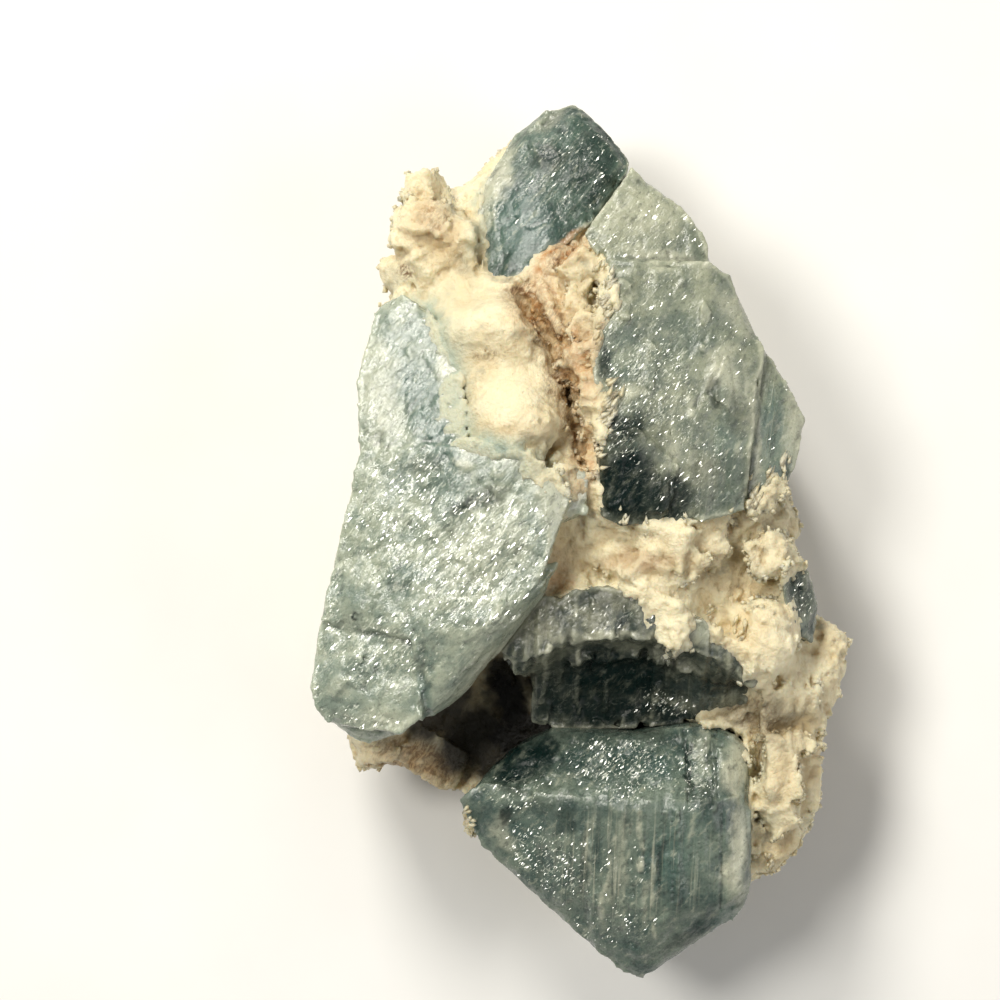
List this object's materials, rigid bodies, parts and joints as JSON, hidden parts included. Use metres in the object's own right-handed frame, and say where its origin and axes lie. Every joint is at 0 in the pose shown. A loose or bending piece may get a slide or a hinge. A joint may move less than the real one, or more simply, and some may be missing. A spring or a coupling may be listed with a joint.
{
  "type": "celestite cluster",
  "caption": "Loose mineral specimen of blue-grey cleavable crystals with flat faces set in a cream granular matrix, lying on its flat fracture face.",
  "frame": {"origin": "on the resting plane, under the middle of the specimen's box", "axes": "+Y towards the upper pointed end, +Z out of the crystal face, +X towards the blocky right-hand side"},
  "size_m": [0.0644, 0.105, 0.0401],
  "materials": {
    "matrix": "rough, sugary cream grains with brown stains",
    "celestite": "cloudy blue-grey cleavage faces with a glassy to pearly lustre"
  },
  "bodies": {
    "root": {"matrix": "matrix", "crystal_top": "celestite", "crystal_right": "celestite", "crystal_left": "celestite", "crystal_middle": "celestite", "crystal_bottom": "celestite", "crystal_edge": "celestite"}
  },
  "joints": []
}
